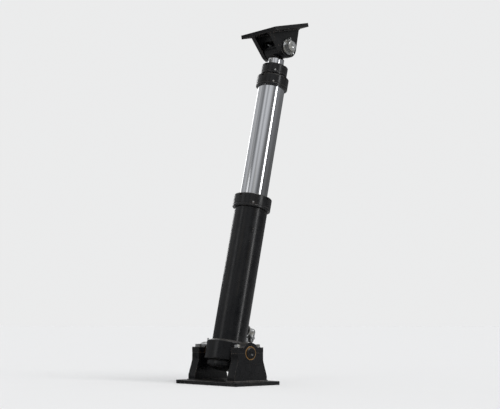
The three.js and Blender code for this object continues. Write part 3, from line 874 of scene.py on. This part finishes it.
def build_head(name, guest):
    """The head nut that closes a tube around the next stage, with its wiper and lock screw."""
    wall = measure(f"{name}_tube")
    nut = measure(f"{name}_head_nut")
    wiper = measure(f"{name}_wiper")
    guest_radius = measure(f"{guest}_tube").outer
    low, high, radius = nut.low.z, nut.high.z, nut.outer
    thread = wall.outer + GAP
    wiper_seat = wiper.outer + GAP
    way_in = guest_radius + NUT.rod_clearance
    profile = [
        (thread, low), *in_mm(NUT_SIDE, low, radius), *in_mm(NUT_TOP, high, radius),
        (wiper_seat, high), (wiper_seat, wiper.low.z - GAP), (way_in, wiper.low.z - GAP),
        (way_in, wall.high.z + GAP), (thread, wall.high.z + GAP),
    ]
    lip = high - wall.high.z
    cuts = []
    for quarter in range(4):
        notch = prism(rectangle(NOTCH.depth + NOTCH.over, NOTCH.half_width), -lip, lip)
        turn = Matrix.Rotation(quarter * math.pi / 2 + NOTCH_TURN, 4, "Z")
        cuts.append(moved(notch, turn @ Matrix.Translation((radius + NOTCH.over, 0, high))))
    screw = measure(f"{name}_lock_screw").middle
    outward = place_at((0, 0, screw.z), (screw.x, screw.y, 0))
    hole = drill(GRUB.hole, wall.outer - GRUB.hole_depth, radius + OVER, TINY_ROUND)
    cuts.append(moved(hole, outward))
    swap(f"{name}_head_nut", cut(turned(profile, NUT.corner), *cuts), CYLINDER, NUT.edge)

    socket = hexagon(GRUB.socket, radius - GRUB.socket_depth, radius + OVER)
    foot, top = wall.outer + GRUB.foot, radius - GRUB.below_nut
    grub = rod(GRUB.radius, foot, top, GRUB.corner, TINY_ROUND)
    swap(f"{name}_lock_screw", cut(grub, socket), CYLINDER @ outward)

    inside = guest_radius + GAP
    profile = [
        (inside, wiper.low.z), (wiper.outer, wiper.low.z), (wiper.outer, high - WIPER.recess),
        (guest_radius + WIPER.shoulder, high), (guest_radius + WIPER.lip, wiper.high.z),
        (inside, wiper.high.z),
    ]
    swap(f"{name}_wiper", turned(profile, WIPER.corner))


def bore_of(guest):
    """The radius of the bore that a moving tube's bearing ring runs in."""
    return measure(f"{guest}_bearing_ring").outer + GAP


def seal_seat(name, guest):
    """The inside of a barrel or sleeve, from its top down: the seat for its seals, then the bore."""
    top = measure(f"{name}_tube").high.z
    seat = measure(f"{name}_packing").outer + GAP
    seat_bottom = measure(f"{name}_guide_ring").low.z - GAP
    return [(seat, top), (seat, seat_bottom, SEAT_CORNER), (bore_of(guest), seat_bottom)]


def outer_wall(name):
    """The outside of a moving tube, from foot to top, with the shallow groove that holds its stop ring."""
    wall = measure(f"{name}_tube")
    stop = measure(f"{name}_stop_ring")
    floor = stop.inner - GAP
    low, high = stop.low.z - GAP, stop.high.z + GAP
    groove = [(wall.outer, low), (floor, low), (floor, high), (wall.outer, high)]
    corners = [(radius, z, GROOVE_CORNER) for radius, z in groove]
    return [(wall.outer, wall.low.z)] + corners + [(wall.outer, wall.high.z)]


def build_barrel():
    wall = measure("barrel_tube")
    outside = [(bore_of("stage_1"), wall.low.z), (wall.outer, wall.low.z), (wall.outer, wall.high.z)]
    height = measure("port_boss").middle.z
    oil_hole = moved(drill(PORT.oilway, PORT.oil_from, PORT.oil_to), place_at((0, 0, height), (1, 0, 0)))
    barrel = turned(outside + seal_seat("barrel", "stage_1"), TUBE_CORNER)
    swap("barrel_tube", cut(barrel, oil_hole))
    cap = measure("barrel_base_cap")
    profile = [(0, cap.low.z), *in_mm(CAP_EDGE, cap.low.z, cap.outer)]
    profile += [(cap.outer, cap.high.z), (0, cap.high.z)]
    swap("barrel_base_cap", turned(profile, BASE_CAP.corner))
    half = build_trunnions(wall.outer)
    beads = [
        weld(circle(wall.outer + WELD_LIFT, half + WELD_OUT), COLLAR.weld),
        weld(circle(wall.outer + WELD_OUT, cap.high.z + BASE_CAP.weld_height), BASE_CAP.weld),
    ]
    bead("barrel_welds", merged(*beads), "barrel")
    build_port(wall.outer, height)
    build_head("barrel", "stage_1")


def build_trunnions(wall):
    """The collar, its two stub shafts and their thrust washers. Gives half the collar's height."""
    collar = measure("trunnion_collar")
    half, end = collar.high.z, collar.high.y
    band = turned(balanced(in_mm(COLLAR_EDGE, half, COLLAR.radius) + [(wall + GAP, half)]), MM)
    profile = in_mm([(0, 82), (45, 82), (45, 90), (36, 99, 6), (36, 105, 1.2), (25, 105)])
    profile += in_mm([(25, -3), (22, 0), (12, 0), (3, -6), (0, -6)], end)
    stubs = []
    for _, sign in SIDES:
        stubs.append(moved(turned(profile, 0.6 * MM, MEDIUM_ROUND), place_at((0, 0, 0), (0, sign, 0))))
    swap("trunnion_collar", join(band, *stubs))
    for side, sign in SIDES:
        across = facing(CYLINDER, (0, sign, 0))
        washer = f"thrust_washer_{side}"
        swap(washer, ring_like(washer, across, MM, SMALL_ROUND), across)
    return half


def build_port(wall, height):
    """The inlet: a boss welded on the barrel's wall, and a lock nut that holds the elbow in it."""
    port = facing(CYLINDER, (1, 0, 0), (0, 0, height))
    face = measure("port_boss", port).high.z
    nut = measure("port_lock_nut", port)
    stem_hole = PORT.stem + GAP
    body = turned([
        (stem_hole, PORT.boss_foot), (PORT.boss, PORT.boss_foot), (PORT.boss, face - PORT.chamfer),
        (PORT.boss - PORT.chamfer, face), (PORT.stem + PORT.mouth, face), (stem_hole, face - PORT.chamfer),
    ], 0.6 * MM, MEDIUM_ROUND)
    to_port = port.inverted() @ shifted(CYLINDER, z=height)
    barrel_space = moved(drill(wall + GAP, -60 * MM, 60 * MM, ROUND), to_port)
    swap("port_boss", cut(body, barrel_space), port)
    seam = []
    for a in angles(WELD_ROUND):
        y, z = PORT.boss * math.sin(a), PORT.boss * math.cos(a)
        x = math.sqrt((wall + WELD_OUT) ** 2 - y ** 2)
        seam.append((x, y * 1.02, height + z * 1.02))  # 2 percent outside the boss
    bead("port_weld", weld(seam, PORT.weld), "barrel")

    lock_nut = cut(hexagon(PORT_NUT.flats, nut.low.z, nut.high.z), drill(stem_hole, 60 * MM, 160 * MM))
    swap("port_lock_nut", lock_nut, port, PORT_NUT.edge)
    build_elbow(port, wall, height, nut.high.z)


def build_elbow(port, wall, height, nut_face):
    """A forged elbow. Its stem goes into the boss, and its other leg points down to a flared thread."""
    centre = measure("port_elbow", port).high.z - ELBOW.centre_from_back
    down = facing(CYLINDER, (0, 0, -1), (centre, 0, height))
    leg_end = measure("port_elbow", down).high.z
    to_down = down.inverted() @ port
    knuckle = in_mm([(0, -16.5), (9, -14.5), (14.5, -9), (16.8, 0), (15.8, 8), (0, 8)])
    forging = merged(
        moved(rod(ELBOW.arm, nut_face + 2 * MM, centre, MM), to_down),
        moved(hexagon(ELBOW.flats, nut_face + 3 * MM, centre - 4 * MM), to_down),
        rod(ELBOW.leg, ELBOW.leg_from, ELBOW.leg_to, MM),
        turned(knuckle, ELBOW.knuckle),
    )
    stem = moved(rod(PORT.stem, wall + 3 * MM, centre - 12 * MM, MM), to_down)
    oilway = PORT.oilway
    core = cut(merged(remeshed(forging, ELBOW.voxel, 4), stem), drill(oilway, 6 * MM, 60 * MM))
    collar = cut(hexagon(ELBOW_HEX.flats, ELBOW_HEX.low, ELBOW_HEX.high), drill(oilway, 10 * MM, 40 * MM))
    neck = tube(oilway, THREAD.neck, ELBOW_HEX.high - MM, THREAD.start + 1.5 * MM)
    thread_end = leg_end - THREAD.nose
    thread = threaded(oilway, THREAD, THREAD.start, thread_end)
    flare = turned([
        (oilway, thread_end - 2 * MM), (THREAD.flare, thread_end - 2 * MM), (THREAD.flare, thread_end),
        (oilway + THREAD.lip, leg_end), (oilway, leg_end),
    ])
    swap("port_elbow", merged(core, collar, neck, thread, flare), down)


def build_sleeve(name, guest):
    """A moving tube whose foot has a ledge inside, which carries the next stage."""
    wall = measure(f"{name}_tube")
    ledge, ledge_top = wall.inner, wall.low.z + LEDGE
    foot = [(bore_of(guest), ledge_top), (ledge, ledge_top)]
    profile = [(ledge, wall.low.z)] + outer_wall(name) + seal_seat(name, guest) + foot
    swap(f"{name}_tube", turned(profile, TUBE_CORNER))
    build_head(name, guest)


def build_plunger():
    wall = measure("plunger_tube")
    inner = measure("plunger_foot_plug").outer + GAP
    rear = facing(CYLINDER, (-1, 0, 0), (0, 0, measure("bleeder_screw").middle.z))
    hole = drill(BLEEDER.hole, BLEEDER.hole_from, BLEEDER.hole_to, TINY_ROUND)
    profile = [(inner, wall.low.z)] + outer_wall("plunger") + [(inner, wall.high.z)]
    shaft = cut(turned(profile, TUBE_CORNER), moved(hole, CYLINDER.inverted() @ rear))
    swap("plunger_tube", shaft)
    bleeder = measure("bleeder_screw", rear)
    foot, top = bleeder.high.z - BLEEDER.head, bleeder.high.z
    screw = merged(
        hexagon(BLEEDER.flats, foot, top - MM), rod(BLEEDER.nipple, foot, top, 0.6 * MM, TINY_ROUND),
        rod(BLEEDER.shank, bleeder.low.z, foot + MM),
    )
    swap("bleeder_screw", screw, rear)
    build_eye(inner - GAP, wall.outer, wall.high.z)


def build_eye(spigot, outer, top):
    """The eye: a spigot in the tube, a cone, and a bored hub with its bush and nipple."""
    centre = measure("plunger_eye").high.z - EYE.hub
    across = facing(CYLINDER, (0, 1, 0), (0, 0, centre))
    to_cylinder = CYLINDER.inverted() @ across
    bush = measure("eye_bush", across)
    half, bore = bush.high.z, bush.outer + GAP
    hub, chamfer, neck = EYE.hub, EYE.chamfer, EYE.neck
    ring = turned(balanced([(hub, half - chamfer), (hub - chamfer, half), (bore, half)]), 0.8 * MM)
    shank = turned([
        (0, top - EYE.spigot), (spigot, top - EYE.spigot), (spigot, top + GAP), (outer, top + GAP),
        (outer, top + EYE.collar, EYE.collar_corner), (neck, top + EYE.cone_top, EYE.cone_corner),
        (neck, centre), (0, centre),
    ], 0.5 * MM)
    pin_space = moved(drill(bore, -80 * MM, 80 * MM, ROUND), to_cylinder)
    nipple = facing(CYLINDER, (-1, 0, 0), (0, 0, centre))
    nipple = shifted(nipple, z=measure("eye_grease_nipple", nipple).low.z + NIPPLE.foot)
    eye = join(cut(shank, pin_space), moved(ring, to_cylinder))
    swap("plunger_eye", cut(eye, nipple_hole(CYLINDER.inverted() @ nipple)))
    seam = []
    for x, y, _ in circle(neck + WELD_LIFT, count=WELD_ROUND):
        seam.append((x, y, centre - math.sqrt(hub ** 2 - x ** 2) - GAP))
    bead("eye_weld", weld(seam, EYE.weld), "plunger")
    swap("eye_bush", ring_like("eye_bush", across, 0.9 * MM, SMALL_ROUND), across)
    swap("eye_grease_nipple", grease_nipple(), nipple)


def build_rings():
    """The plain rings that fill the spaces between the tubes, and the plug in the plunger's foot."""
    in_heads = [f"{name}_{kind}" for name in TUBES[:3] for kind in ("guide_ring", "packing")]
    on_feet = [f"{name}_{kind}" for name in TUBES[1:] for kind in ("bearing_ring", "stop_ring")]
    for node in in_heads + on_feet:
        swap(node, ring_like(node))
    plug = measure("plunger_foot_plug")
    swap("plunger_foot_plug", rod(plug.outer, plug.low.z, plug.high.z, facets=ROUND))


# ---- upper bracket and its pin

def build_bracket():
    """The plate that bolts under the truck's body, with two ears that hold the top pin."""
    box = measure("upper_bracket", BRACKET)
    under = box.high.z - TOP_PLATE.thick
    slab = prism(rectangle(box.high.x, box.high.y, TOP_PLATE.corner), 0, TOP_PLATE.thick)
    slab = moved(slab, Matrix.Translation((0, 0, under)))
    span = math.hypot(EAR.top_half, under)
    turn = math.degrees(math.atan2(EAR.top_half, under) + math.acos(EAR.radius / span))
    outline = [(EAR.top_half, under + MM), (-EAR.top_half, under + MM)]
    outline += arc((0, 0), EAR.radius, 90 + turn, 450 - turn, 48)
    ears = [standing(outline, low, high) for low, high in ((EAR.inner, EAR.outer), (-EAR.outer, -EAR.inner))]
    holes = four_drills(TOP_PLATE, under, box.high.z)
    holes.append(moved(drill(TOP_PIN.radius + GAP, -120 * MM, 120 * MM), Y_FROM_Z))
    swap("upper_bracket", cut(join(slab, *ears), *holes), BRACKET, TOP_PLATE.edge)
    half_thick = (EAR.outer - EAR.inner) / 2
    beads = []
    for _, sign in SIDES:
        middle = sign * (EAR.inner + EAR.outer) / 2
        beads.append(plate_weld(EAR.top_half, half_thick, under - WELD_LIFT, middle, EAR))
    bead("bracket_welds", merged(*beads), "bracket", BRACKET)


def build_top_pin():
    """The pin through the ears and the plunger's eye, kept at each end by a washer and a split pin."""
    across = facing(BRACKET, (0, 1, 0))
    end = measure("top_pin", across).high.z
    split_at = measure("split_pin_left", BRACKET).middle.y
    upper = in_mm([(25, -3), (22, 0), (9, 0), (3, -5), (0, -5)], end)
    pin = turned(balanced(upper), 0.6 * MM, MEDIUM_ROUND)
    splits = {side: shifted(BRACKET, y=sign * split_at) for side, sign in SIDES}
    holes = []
    for place in splits.values():
        hole = drill(TOP_PIN.cross_hole, -40 * MM, 40 * MM, TINY_ROUND)
        holes.append(moved(hole, across.inverted() @ place))
    swap("top_pin", cut(pin, *holes), across, TOP_PIN.edge)
    for side, sign in SIDES:
        outward = facing(BRACKET, (0, sign, 0))
        washer = measure(f"top_pin_washer_{side}", outward)
        ring = tube(TOP_PIN.radius + GAP, washer.outer, washer.low.z, washer.high.z, 0.7 * MM, MEDIUM_ROUND)
        swap(f"top_pin_washer_{side}", ring, outward)
        swap(f"split_pin_{side}", split_pin(), splits[side])


def split_pin():
    """A split pin through a hole along z: a loop above, two legs bent apart below."""
    pin = TOP_PIN.radius
    half = in_mm([(10.5, -17), (7.5, -12), (3.5, -4), (2.3, 0)], -pin) + in_mm([(2.3, 0)])
    half += in_mm([(2.3, 1), (4.4, 5), (7.3, 9), (6.9, 13), (4, 16.2)], pin)
    path = [(0, y, z) for y, z in half] + [(0, 0, pin + 17.2 * MM)] + [(0, -y, z) for y, z in reversed(half)]
    return swept(smooth_path(path, 6), lambda i: SPLIT_WIRE, 14)


# ---- studio

CAMERA_TURN = -41.4  # where the camera stands, in degrees about +Z from -Y
CAMERA_DISTANCE = 5.5
CAMERA_HEIGHT = 0.28
LENS = 86
AIM_BELOW_MIDDLE = 0.03

LAMPS = (  # degrees to the right of the camera, distance, height, width, how tall, power
    ("key", 55, 2.6, 1.3, 0.45, 2.2, 16),
    ("fill", -62, 3.6, 1.5, 0.9, 2.4, 7),
    ("back", -155, 2.8, 1.9, 0.8, 2.2, 15),
)
SUN_TO_RIGHT = 48
SUN_ELEVATION = 56
SUN_SOFTNESS = 30  # degrees across
SUN_STRENGTH = 1.7
SUN_DISTANCE = 3

FLOOR_RADIUS = 60
FLOOR_DROP = 0.5 * MM  # keeps the floor's surface clear of the base plate's
FLOOR_TONES = ((0.79, 0.79, 0.785), (0.80, 0.80, 0.80))
MIRRORED_TONES = ((0.13, 0.13, 0.13), (0.50, 0.50, 0.50))  # the floor as the metal reflects it

BACKDROP = (0.832, 0.835, 0.837, 1)
ROOM = ((0.02, 0.10), (0.75, 0.85))  # height and tone, at the dark end and at the light end
WALLS = (0.45, 1.45)  # how unevenly the room shines all round


def direction(degrees):
    """A level unit vector, by degrees about +Z from -Y."""
    turn = math.radians(degrees)
    return Vector((math.sin(turn), -math.cos(turn), 0))


def aim(name, data, location, target):
    made = as_object(name, data)
    made.location = location
    made.rotation_euler = (target - made.location).to_track_quat("-Z", "Y").to_euler()
    return made


def build_floor():
    """A pale paper floor. The metal sees it darker and stained, so that chrome reads as metal."""
    bm = bmesh.new()
    bmesh.ops.create_circle(bm, cap_ends=True, segments=96, radius=FLOOR_RADIUS)
    floor = as_object("studio_floor", mesh_of(bm))
    floor.location.z = -FLOOR_DROP
    paper = Recipe("studio_floor", roughness=1.0, specular_ior_level=0.0)
    paper.place = paper.add("TexCoord", {}, "Object")
    tone = paper.mix(paper.noise(3, 3), *FLOOR_TONES)
    mirrored_tone = paper.mix(paper.patches(1.3, 0.36, 0.64, 2), *MIRRORED_TONES)
    in_gloss = paper.add("LightPath", {}, "Is Glossy Ray")
    floor.data.materials.append(paper.finished(paper.mix(in_gloss, tone, mirrored_tone)))


def build_world():
    """A pale backdrop for the camera, and a room to light the object: dark low down, uneven all round."""
    world = bpy.data.worlds.new("studio")
    bpy.context.scene.world = world
    world.use_nodes = True
    sky = Nodes(world.node_tree)
    outward = sky.add("TexCoord", {}, "Generated")
    height = sky.add("SeparateXYZ", {0: outward}, "Z")
    room = sky.add("ValToRGB", {0: height})
    ramp = room.node.color_ramp
    ramp.interpolation = "EASE"
    for element, (position, tone) in zip(ramp.elements, ROOM):
        element.position = position
        element.color = (tone, tone * 1.01, tone * 1.03, 1)
    uneven = sky.step(sky.noise_at(outward, 1.7, 1.0, 0.5), 0.35, 0.65, *WALLS)
    sky.tree.nodes.remove(sky.tree.nodes["Background"])
    light = sky.add("Background", {"Color": room, "Strength": uneven})
    backdrop = sky.add("Background", {"Color": BACKDROP})
    by_camera = sky.add("LightPath", {}, "Is Camera Ray")
    seen = sky.add("MixShader", {0: by_camera, 1: light, 2: backdrop})
    sky.tree.links.new(seen, sky.tree.nodes["World Output"].inputs[0])


def build_studio():
    build_floor()
    build_world()
    bpy.context.scene.view_settings.view_transform = "Standard"
    target = (Vector(CAD_BOX[0]) + Vector(CAD_BOX[1])) / 2
    target.z -= AIM_BELOW_MIDDLE
    for name, to_right, distance, height, width, tall, power in LAMPS:
        data = bpy.data.lights.new(name, "AREA")
        data.shape = "RECTANGLE"
        data.size = width
        data.size_y = tall
        data.energy = power
        place = target + direction(CAMERA_TURN + to_right) * distance
        strip = aim(name, data, (place.x, place.y, height), target)
        strip.visible_diffuse = False  # seen in the gloss only, so that the floor stays even
    sun = bpy.data.lights.new("sun", "SUN")
    sun.energy = SUN_STRENGTH
    sun.angle = math.radians(SUN_SOFTNESS)
    rise = Vector((0, 0, math.tan(math.radians(SUN_ELEVATION))))
    aim("sun", sun, target + (direction(CAMERA_TURN + SUN_TO_RIGHT) + rise) * SUN_DISTANCE, target)
    camera = bpy.data.cameras.new("camera")
    camera.lens = LENS
    place = target + direction(CAMERA_TURN) * CAMERA_DISTANCE
    bpy.context.scene.camera = aim("camera", camera, (place.x, place.y, CAMERA_HEIGHT), target)


# ---- everything

build_cradle()
build_barrel()
build_sleeve("stage_1", "stage_2")
build_sleeve("stage_2", "plunger")
build_plunger()
build_rings()
build_bracket()
build_top_pin()
build_studio()
